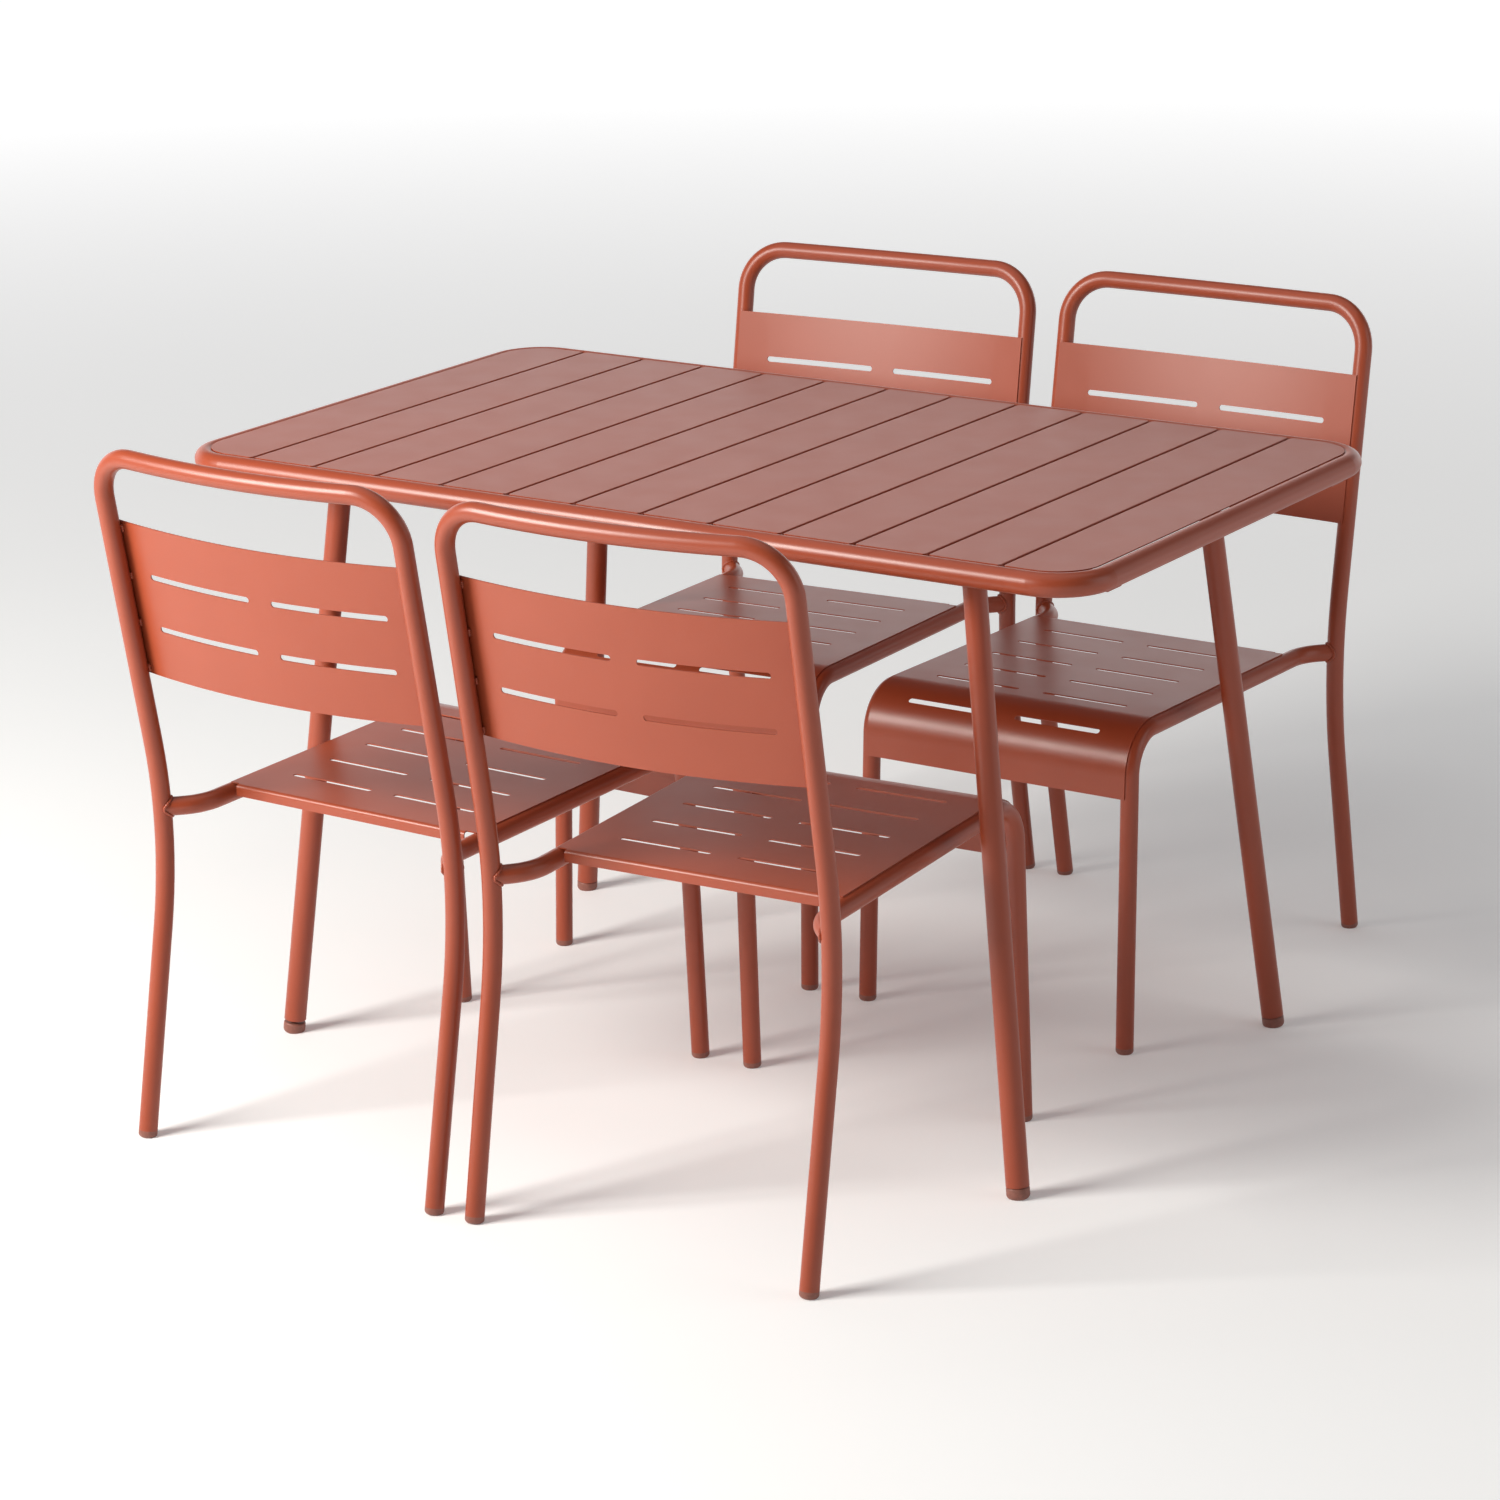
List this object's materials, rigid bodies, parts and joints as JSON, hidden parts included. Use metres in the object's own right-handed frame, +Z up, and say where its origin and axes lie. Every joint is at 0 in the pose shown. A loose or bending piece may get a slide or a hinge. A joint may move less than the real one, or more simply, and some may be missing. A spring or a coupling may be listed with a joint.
{
  "type": "patio dining set",
  "caption": "Slatted rectangular steel garden table on splayed tube legs with matching stackable steel chairs drawn up along both long sides",
  "frame": {"origin": "on the floor under the middle of the table top", "axes": "+X along the table's long side, +Y from the near pair of chairs to the far pair, +Z up"},
  "size_m": [1.25, 1.4502, 0.8307],
  "materials": {
    "frame_paint": "satin terracotta red powder coat",
    "slat_paint": "satin terracotta red powder coat on flat sheet",
    "panel_paint": "satin terracotta red powder coat on pressed sheet",
    "foot_plastic": "moulded nylon, fine grain",
    "zinc_steel": "zinc plated",
    "insert_plastic": "moulded nylon"
  },
  "bodies": {
    "table": {"table_bar_far": "frame_paint", "table_bar_near": "frame_paint", "table_leg_bolts": "zinc_steel", "table_leg_far_left": "frame_paint", "table_leg_far_right": "frame_paint", "table_leg_inserts": "insert_plastic", "table_leg_near_left": "frame_paint", "table_leg_near_right": "frame_paint", "table_leg_plates": "frame_paint", "table_ring": "frame_paint", "table_slat_01": "slat_paint", "table_slat_02": "slat_paint", "table_slat_03": "slat_paint", "table_slat_04": "slat_paint", "table_slat_05": "slat_paint", "table_slat_06": "slat_paint", "table_slat_07": "slat_paint", "table_slat_08": "slat_paint", "table_slat_09": "slat_paint", "table_slat_10": "slat_paint", "table_slat_11": "slat_paint", "table_slat_12": "slat_paint", "table_slat_13": "slat_paint"},
    "foot_near_left": {"foot_pad_near_left": "foot_plastic", "foot_stem_near_left": "zinc_steel"},
    "foot_near_right": {"foot_pad_near_right": "foot_plastic", "foot_stem_near_right": "zinc_steel"},
    "foot_far_right": {"foot_pad_far_right": "foot_plastic", "foot_stem_far_right": "zinc_steel"},
    "foot_far_left": {"foot_pad_far_left": "foot_plastic", "foot_stem_far_left": "zinc_steel"},
    "chair_near_left": {"chair_near_left_back_frame": "frame_paint", "chair_near_left_back_panel": "panel_paint", "chair_near_left_foot_caps": "foot_plastic", "chair_near_left_rail_left": "frame_paint", "chair_near_left_rail_right": "frame_paint", "chair_near_left_seat_panel": "panel_paint"},
    "chair_near_right": {"chair_near_right_back_frame": "frame_paint", "chair_near_right_back_panel": "panel_paint", "chair_near_right_foot_caps": "foot_plastic", "chair_near_right_rail_left": "frame_paint", "chair_near_right_rail_right": "frame_paint", "chair_near_right_seat_panel": "panel_paint"},
    "chair_far_left": {"chair_far_left_back_frame": "frame_paint", "chair_far_left_back_panel": "panel_paint", "chair_far_left_foot_caps": "foot_plastic", "chair_far_left_rail_left": "frame_paint", "chair_far_left_rail_right": "frame_paint", "chair_far_left_seat_panel": "panel_paint"},
    "chair_far_right": {"chair_far_right_back_frame": "frame_paint", "chair_far_right_back_panel": "panel_paint", "chair_far_right_foot_caps": "foot_plastic", "chair_far_right_rail_left": "frame_paint", "chair_far_right_rail_right": "frame_paint", "chair_far_right_seat_panel": "panel_paint"}
  },
  "joints": [
    {"name": "level_near_left", "type": "slide", "parent": "table", "child": "foot_near_left", "axis": [-0.1146, -0.0636, -0.9914], "range_m": [-0.0032, 0.0088]},
    {"name": "level_near_right", "type": "slide", "parent": "table", "child": "foot_near_right", "axis": [0.1146, -0.0636, -0.9914], "range_m": [0, 0.012]},
    {"name": "level_far_right", "type": "slide", "parent": "table", "child": "foot_far_right", "axis": [0.1146, 0.0636, -0.9914], "range_m": [0, 0.012]},
    {"name": "level_far_left", "type": "slide", "parent": "table", "child": "foot_far_left", "axis": [-0.1146, 0.0636, -0.9914], "range_m": [0, 0.012]},
    {"name": "pull_near_left", "type": "slide", "parent": "table", "child": "chair_near_left", "axis": [-0.0279, -0.9996, 0], "range_m": [-0.08, 0.45]},
    {"name": "pull_near_right", "type": "slide", "parent": "table", "child": "chair_near_right", "axis": [0.0454, -0.999, 0], "range_m": [-0.08, 0.45]},
    {"name": "pull_far_left", "type": "slide", "parent": "table", "child": "chair_far_left", "axis": [-0.0558, 0.9984, 0], "range_m": [-0.08, 0.45]},
    {"name": "pull_far_right", "type": "slide", "parent": "table", "child": "chair_far_right", "axis": [0.0052, 1, 0], "range_m": [-0.08, 0.45]}
  ]
}
